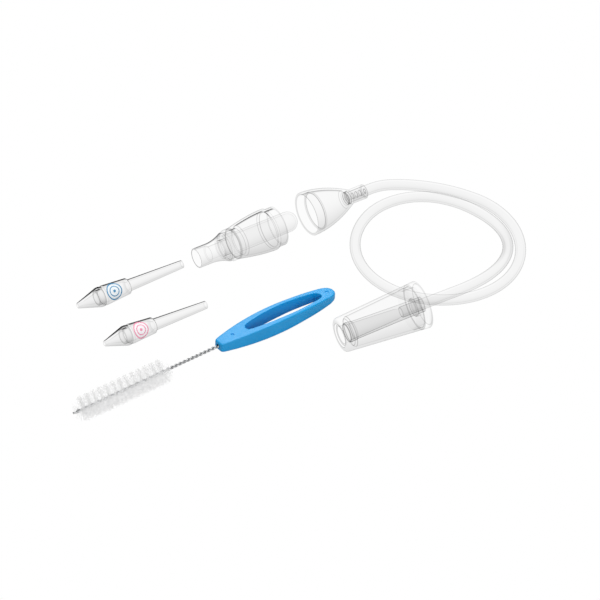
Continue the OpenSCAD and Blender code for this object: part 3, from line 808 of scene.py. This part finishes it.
BENDS_LENGTH = sum(r * math.radians(d) for r, d in HOSE_BENDS)
TAIL_START = HOSE_LEAD + BENDS_LENGTH
HOSE_END = TAIL_START + HOSE_TAIL
DROOP = (MOUTH_REAR_R - MOUTH_LIP_R) / MOUTH_LENGTH
TAIL_HEIGHT = MOUTH_REAR_R + TABLE_GAP - MOUTH_INSERTION * DROOP + HOSE_TAIL * DROOP


def hose_height(s):
    """Height of the centre line over the table: down from the cup, along the table, up to the mouthpiece."""
    if s < HOSE_DOWN_AT:
        return mix(CUP_R, HOSE_R, ease((s - HOSE_LEAD) / (HOSE_DOWN_AT - HOSE_LEAD)))
    if s < HOSE_UP_AT:
        return HOSE_R
    if s < TAIL_START:
        t = (s - HOSE_UP_AT) / (TAIL_START - HOSE_UP_AT)
        return mix(HOSE_R, TAIL_HEIGHT, ease(t)) - DROOP * (TAIL_START - HOSE_UP_AT) * (t**3 - t * t)
    return TAIL_HEIGHT - (s - TAIL_START) * DROOP


def hose():
    steps, sides = 700, 48
    path = []
    for i in range(steps + 1):
        s = mix(-HOSE_IN_CUP, HOSE_END, i / steps)
        path.append((*hose_plan(s), hose_height(s) - CUP_R))
    verts, faces = sweep(path, sides, HOSE_R - 0.01, inner=HOSE_BORE_R)
    place = AT_CUP @ Matrix.Translation((CUP_LENGTH * MM, 0, 0))
    half = len(verts) // 2
    outer = [1.0] * half + [0.0] * half
    obj = make_object("hose_tube", verts, faces, place, "hose", HOSE_SKIN, 32, {"outer": outer})
    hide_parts("hose")


hose()


# ---- Mouthpiece ----

BASE_LENGTH, BORE_R, BORE_LENGTH, FRONT_WALL_X, LIP_ROUND = 4.5, 10.8, 4.2, MOUTH_LENGTH - 5, 1.7


def mouth_out(x):
    return mix(MOUTH_REAR_R, MOUTH_LIP_R + 0.12, x / (MOUTH_LENGTH - LIP_ROUND))


def mouthpiece():
    spigot, hub, b, hose_socket, airway_hole = BORE_R - 0.06, 3.92, BASE_LENGTH, 2.81, 2.21
    base = ([(hub, 0.4), (MOUTH_REAR_R - 1.6, 0.4), (MOUTH_REAR_R - 1.6, 0)]
            + round_points(MOUTH_REAR_R - 1.1, 1.1, 1.1, -90, 0, 10)
            + [(mouth_out(b), b - 0.1), (spigot, b - 0.1), (spigot, b + BORE_LENGTH - 0.1),
               (spigot - 1, b + BORE_LENGTH - 0.1), (spigot - 1, 2), (hub + 1, 2), (hub + 1, b), (hub, b)])
    airway = [(hose_socket, 0.4), (3.9, 0.4), (3.9, b), (4.8, b), (4.8, b + 1), (3.9, b + 1), (4.0, 14),
              (4.7, FRONT_WALL_X - 3), (5.0, FRONT_WALL_X - 2.6), (5.0, FRONT_WALL_X + 0.9),
              (4.1, FRONT_WALL_X + 0.9), (2.71, 15), (airway_hole, 13), (airway_hole, 12.1),
              (hose_socket, 12.1)]
    lip, front = MOUTH_LENGTH - LIP_ROUND, FRONT_WALL_X
    wall = ([(BORE_R, b), (mouth_out(b), b), (mouth_out(lip), lip)]
            + round_points(MOUTH_LIP_R + 0.12 - LIP_ROUND, lip, LIP_ROUND, 15, 90, 10)
            + [(6.3, MOUTH_LENGTH), (6.0, MOUTH_LENGTH - 0.25), (5.5, MOUTH_LENGTH - 0.9),
               (4.5, MOUTH_LENGTH - 0.9), (4.5, front + 1), (5.06, front + 1), (5.06, front),
               (mouth_out(front) - 2.2, front), (mouth_out(front) - 1.3, front - 1),
               (mouth_out(b + BORE_LENGTH + 1) - 1.2, b + BORE_LENGTH + 1), (BORE_R, b + BORE_LENGTH)])
    lathe("base_cap", base, AT_MOUTH, "mouth_base", SMOKY, "mouthpiece_base", segments=144, rims=0.35,
          covered=(1.5, b + BORE_LENGTH))
    lathe("airway_tube", airway, AT_MOUTH, "mouth_base", AIRWAY, "mouthpiece_airway", rims=0.5)
    lathe("mouthpiece_wall", wall, AT_MOUTH, "mouth_shell", SMOKY, "mouthpiece_shell", segments=144,
          rims=0.8)


mouthpiece()


# ---- Brush handle ----


def arc_radius(half, drop):
    """Radius of an arc that falls by drop at half its chord from the middle."""
    return (half * half + drop * drop) / (2 * drop)


CROWN_MID, HANDLE_MID, TAIL_R = 34, 38, 3.75
BELLY_R = arc_radius(CROWN_MID, (HANDLE_HEIGHT - HANDLE_WIRE_HEIGHT) / 2)
SIDE_R = arc_radius(HANDLE_MID, (HANDLE_WIDTH - HANDLE_WIRE_WIDTH) / 2)
TAIL_X = HANDLE_LENGTH - TAIL_R
SLOT_END_R, SLOT_OVERRUN = 2.2, 9
WIRE_HOLE_R, DIMPLE_R, DIMPLES_X = 1.15, 0.95, (9.0, HANDLE_LENGTH - 4.4)


def half_height(x):
    return HANDLE_HEIGHT / 2 - BELLY_R + math.sqrt(BELLY_R**2 - (x - CROWN_MID) ** 2)


def half_width(x):
    side = HANDLE_WIDTH / 2 - SIDE_R + math.sqrt(SIDE_R**2 - (x - HANDLE_MID) ** 2)
    if x > TAIL_X:
        side = min(side, math.sqrt(max(TAIL_R**2 - (x - TAIL_X) ** 2, 0)))
    return side


def slot_half_width(x):
    half = SLOT_LENGTH / 2
    radius = arc_radius(half + SLOT_OVERRUN, SLOT_WIDTH / 2)
    side = SLOT_WIDTH / 2 - radius + math.sqrt(radius**2 - x * x)
    end = half - SLOT_END_R
    if abs(x) > end:
        side = min(side, math.sqrt(max(SLOT_END_R**2 - (abs(x) - end) ** 2, 0)))
    return side


def outline(width, x0, x1, count):
    """Closed outline, evenly spread, of a shape symmetric about X, whose half width is width(x)."""
    upper, fine = [], 2000
    for i in range(fine + 1):
        x = mix(x0, x1, 0.5 - 0.5 * math.cos(math.pi * i / fine))
        upper.append((x, width(x)))
    if upper[0][1] > 0.01:
        # The flat end where the wire goes in.
        upper = [(x0, upper[0][1] * k / 60) for k in range(60)] + upper
    pts = np.array(upper)
    run = np.concatenate([[0], np.cumsum(np.hypot(*np.diff(pts, axis=0).T))])
    at = np.linspace(0, run[-1], count + 1)
    xs, ys = np.interp(at, run, pts[:, 0]), np.interp(at, run, pts[:, 1])
    top = list(zip(xs, ys))
    return top + [(x, -y) for x, y in top[-2:0:-1]]


def handle():
    count = 150
    outer = blunt(outline(half_width, 0, HANDLE_LENGTH, count), 3)
    inner = [(x + SLOT_MID, y) for x, y in outline(slot_half_width, -SLOT_LENGTH / 2, SLOT_LENGTH / 2, count)]
    n = len(outer)
    verts, faces = [], []
    # Steps from the outer edge, then from the slot's edge: how far in and how far below the crown, in mm.
    bevel = [(0.0, 1.05), (0.0, 0.85), (0.12, 0.5), (0.38, 0.2), (0.72, 0.04), (1.0, 0.0)]
    lip = [(0.6, 0.0), (0.33, 0.05), (0.12, 0.22), (0.02, 0.45), (0.0, 0.65)]
    section = ([("outer", inset, depth) for inset, depth in bevel]
               + [("between", t, 0.0) for t in (0.25, 0.5, 0.75)]
               + [("inner", inset, depth) for inset, depth in lip])
    rings = 2 * len(section)
    for sign in (1, -1):
        for kind, a, depth in section[::sign]:
            for i in range(n):
                (ox, oy), (ix, iy) = outer[i], inner[i]
                span = math.hypot(ix - ox, iy - oy)
                ux, uy = (ix - ox) / span, (iy - oy) / span
                if kind == "outer":
                    x, y = ox + ux * a, oy + uy * a
                elif kind == "inner":
                    x, y = ix - ux * a, iy - uy * a
                else:
                    x, y = mix(ox + ux, ix - ux * lip[0][0], a), mix(oy + uy, iy - uy * lip[0][0], a)
                verts.append((x, y, sign * (half_height(min(max(x, 0), HANDLE_LENGTH)) - depth)))
    for r in range(rings):
        a, b = r * n, ((r + 1) % rings) * n
        for i in range(n):
            j = (i + 1) % n
            faces.append((a + i, a + j, b + j, b + i))
    obj = make_object("brush_grip", verts, faces, AT_BRUSH, "brush", BLUE, 34)
    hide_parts("brush_handle")
    drill(obj, (-0.5, 0, 0), (1, 0, 0), WIRE_HOLE_R, 4.5)
    for x in DIMPLES_X:
        drill(obj, (x, 0, half_height(x) - 0.35), (0, 0, 1), DIMPLE_R, 2.0)


def blunt(points, passes):
    """Takes the sharpness off an outline's corners."""
    pts = np.array(points)
    for _ in range(passes):
        pts = 0.5 * pts + 0.25 * (np.roll(pts, 1, 0) + np.roll(pts, -1, 0))
    return [tuple(p) for p in pts]


def drill(obj, start, axis, radius, depth):
    """A round hole in the handle from start, in millimetres, along an axis."""
    bm = bmesh.new()
    bmesh.ops.create_cone(
        bm, cap_ends=True, segments=40, radius1=radius * MM, radius2=radius * MM, depth=depth * MM)
    bmesh.ops.translate(bm, vec=(0, 0, depth * MM / 2), verts=bm.verts)
    turn = Vector(axis).to_track_quat("Z", "Y").to_matrix().to_4x4()
    bmesh.ops.transform(bm, matrix=Matrix.Translation(Vector(start) * MM) @ turn, verts=bm.verts)
    carve(obj, bm, AT_BRUSH)


handle()


# ---- Brush wire and bristles ----

STRAND_R, STRAND_OFFSET, WIRE_IN_HANDLE, EYE = 0.43, 0.44, 3.5, 0.42
WIRE_END = BARE_WIRE + BRISTLE_LENGTH + 0.9
FILAMENTS, FILAMENT_R, ROOT_R, ROW_SPREAD, LEAN = 9000, (0.05, 0.07), 0.8, 0.16, (0.72, 1.8)
FREE_END, HELD_END, TAPER_X, TAPER_LENGTH = 2.4, 0.35, 2.0, 5.0


def twist(x):
    """How far the strands have turned at x, tighter along the bare wire than among the bristles."""
    bare, held = max(x, -BARE_WIRE), min(x + BARE_WIRE, 0.0)
    return 2 * math.pi * (bare / BARE_PITCH + held / BRISTLE_PITCH)


def wire():
    """One wire, folded at the tip into a small eye and twisted back on itself into the handle."""
    steps = int(WIRE_END / BARE_PITCH * 30)

    def strand(x, phase):
        a = phase - twist(x)
        return (x, STRAND_OFFSET * math.cos(a), STRAND_OFFSET * math.sin(a))

    xs = [mix(WIRE_IN_HANDLE, -WIRE_END, i / steps) for i in range(steps + 1)]
    path = [strand(x, 0) for x in xs]
    a = -twist(-WIRE_END)
    for k in range(1, 12):
        t = math.pi * k / 12
        w = STRAND_OFFSET * math.cos(t)
        path.append((-WIRE_END - EYE * math.sin(t), w * math.cos(a), w * math.sin(a)))
    path += [strand(x, math.pi) for x in reversed(xs)]
    verts, faces = sweep(path, 12, STRAND_R)
    obj = make_object("twisted_wire", verts, faces, AT_BRUSH, "brush", STEEL, 50)
    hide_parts("brush_wire")


def bristles():
    """Nylon filaments held by the twist of the wire, so they stand in two helical rows."""
    verts, faces = [], []
    start = -BARE_WIRE - BRISTLE_LENGTH
    for i in range(FILAMENTS):
        along = rng.uniform(FREE_END, BRISTLE_LENGTH - HELD_END)
        held_at = math.pi * rng.choice((0, 1)) - twist(start + along)
        angle = held_at + rng.gauss(0, ROW_SPREAD)
        # The table under the brush pushes the lower filaments apart.
        lean = rng.gauss(0, mix(*LEAN, ease(0.35 - 0.8 * math.sin(angle))))
        reach = BRISTLE_R * (1 - 0.09 * min(abs(lean), 1.3) ** 2) * rng.uniform(0.97, 1.0)
        # Shorter at both ends of the bundle.
        edge = min(along - TAPER_X, BRISTLE_LENGTH - along) / TAPER_LENGTH
        if edge < 1:
            reach *= 0.80 + 0.20 * math.sqrt(max(edge * (2 - edge), 0))
        bend = rng.uniform(-0.10, 0.10)
        base = Vector((start + along, 0, 0))
        out = Vector((0, math.cos(angle), math.sin(angle)))
        side = Vector((0, -math.sin(angle), math.cos(angle)))
        points = []
        for k in range(4):
            t = k / 3
            p = base + out * mix(ROOT_R, reach, t) + Vector((1, 0, 0)) * lean * t * 1.05
            points.append(p + side * bend * reach * t * t)
        size = rng.uniform(*FILAMENT_R)
        first = len(verts)
        for k, p in enumerate(points):
            r = size * (1.0 if k < 3 else 0.7)
            for m in range(3):
                a = 2 * math.pi * m / 3 + i
                verts.append(p + Vector((math.cos(a), 0, 0)) * r + side * (math.sin(a) * r))
        for k in range(3):
            for m in range(3):
                j = (m + 1) % 3
                a, b = first + k * 3, first + (k + 1) * 3
                faces.append((a + m, a + j, b + j, b + m))
        faces.append((first + 9, first + 10, first + 11))
    for v in verts:
        r = math.hypot(v.y, v.z)
        if r > BRISTLE_R:
            v.y, v.z = v.y * BRISTLE_R / r, v.z * BRISTLE_R / r
        v.x = min(max(v.x, start + 1.0), -BARE_WIRE + 0.2)
    obj = make_object("nylon_bristles", verts, faces, AT_BRUSH, "brush", NYLON, 0)
    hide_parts("brush_bristles")


wire()
bristles()


# ---- Table, light and camera ----


def table():
    half, hair = 3.0, 0.00002
    corners = [(-half, -half, 0), (half, -half, 0), (half, half, 0), (-half, half, 0)]
    mesh = bpy.data.meshes.new("table")
    mesh.from_pydata(corners, [], [(0, 1, 2, 3)])
    obj = bpy.data.objects.new("table", mesh)
    # A hair below the pieces that lie on it.
    obj.location.z = cad_low.z - hair
    bpy.context.scene.collection.objects.link(obj)
    n = Nodes("table_white")
    base = n.add("ShaderNodeBsdfDiffuse")
    colour = n.blend(n.spread(n.noise(3, 2), 0, 1), (0.56, 0.56, 0.56), (0.59, 0.59, 0.59))
    n.link(colour, base.inputs["Color"])
    # Seen directly or through clear plastic the table is lit from behind, like a photographer's light table.
    lit = n.add("ShaderNodeEmission", Strength=1.0)
    path = n.add("ShaderNodeLightPath")
    obj.data.materials.append(
        n.finish(n.mix_shader(path.outputs["Is Camera Ray"], base.outputs["BSDF"], lit.outputs["Emission"])))


def area(name, towards, distance, size, power, target):
    """A round soft light of a size in metres and a power in watts, in a direction from the target."""
    data = bpy.data.lights.new(name, "AREA")
    data.shape, data.size, data.energy = "DISK", size, power
    obj = bpy.data.objects.new(name, data)
    obj.location = target + towards * distance
    obj.rotation_mode = "QUATERNION"
    obj.rotation_quaternion = towards.to_track_quat("Z", "Y")
    bpy.context.scene.collection.objects.link(obj)


def world():
    """Bright overhead, darker near the horizon, so that clear edges draw a line."""
    w = bpy.data.worlds.new("studio")
    bpy.context.scene.world = w
    w.use_nodes = True
    tree = w.node_tree
    tree.nodes.clear()
    coords = tree.nodes.new("ShaderNodeTexCoord")
    split = tree.nodes.new("ShaderNodeSeparateXYZ")
    ramp = tree.nodes.new("ShaderNodeValToRGB")
    ramp.color_ramp.elements[0].position = 0.0
    ramp.color_ramp.elements[0].color = (0.10, 0.10, 0.10, 1)
    ramp.color_ramp.elements[1].position = 0.55
    ramp.color_ramp.elements[1].color = (1, 1, 1, 1)
    middle = ramp.color_ramp.elements.new(0.22)
    middle.color = (0.35, 0.35, 0.36, 1)
    studio = tree.nodes.new("ShaderNodeBackground")
    studio.inputs["Strength"].default_value = 0.75
    wall = tree.nodes.new("ShaderNodeBackground")
    wall.inputs["Color"].default_value = (1, 1, 1, 1)
    path = tree.nodes.new("ShaderNodeLightPath")
    choose = tree.nodes.new("ShaderNodeMixShader")
    out = tree.nodes.new("ShaderNodeOutputWorld")
    tree.links.new(coords.outputs["Generated"], split.inputs["Vector"])
    tree.links.new(split.outputs["Z"], ramp.inputs["Fac"])
    tree.links.new(ramp.outputs["Color"], studio.inputs["Color"])
    tree.links.new(path.outputs["Is Camera Ray"], choose.inputs[0])
    tree.links.new(studio.outputs["Background"], choose.inputs[1])
    tree.links.new(wall.outputs["Background"], choose.inputs[2])
    tree.links.new(choose.outputs["Shader"], out.inputs["Surface"])


middle = (cad_low + cad_high) / 2
table()
world()
target = Vector((middle.x + 0.0126, middle.y + 0.0024, cad_low.z))
area("overhead", direction(150, 72), 0.9, 0.7, 2.8, target)
area("back", direction(CAMERA_AZIMUTH + 180, 40), 1.2, 0.7, 3.0, target)
area("front", direction(CAMERA_AZIMUTH + 35, 25), 1.3, 0.6, 4.7, target)

# A long lens, with the width that it covers at the target in metres.
lens, sensor, field = 500.0, 36, 0.300
camera_data = bpy.data.cameras.new("camera")
camera_data.lens, camera_data.sensor_width = lens, sensor
camera = bpy.data.objects.new("camera", camera_data)
bpy.context.scene.collection.objects.link(camera)
camera.location = target + TO_CAMERA * (field * lens / sensor)
camera.rotation_mode = "QUATERNION"
camera.rotation_quaternion = (-TO_CAMERA).to_track_quat("-Z", "Y")
camera_data.clip_start, camera_data.clip_end = 0.1, 20
bpy.context.scene.camera = camera
bpy.context.scene.view_settings.view_transform = "Standard"
# Many clear surfaces lie one behind another. Paths cut short among them would show as speckle.
bpy.context.scene.cycles.transparent_max_bounces = 64
bpy.context.scene.cycles.min_transparent_bounces = 64
bpy.context.scene.cycles.diffuse_bounces = 8
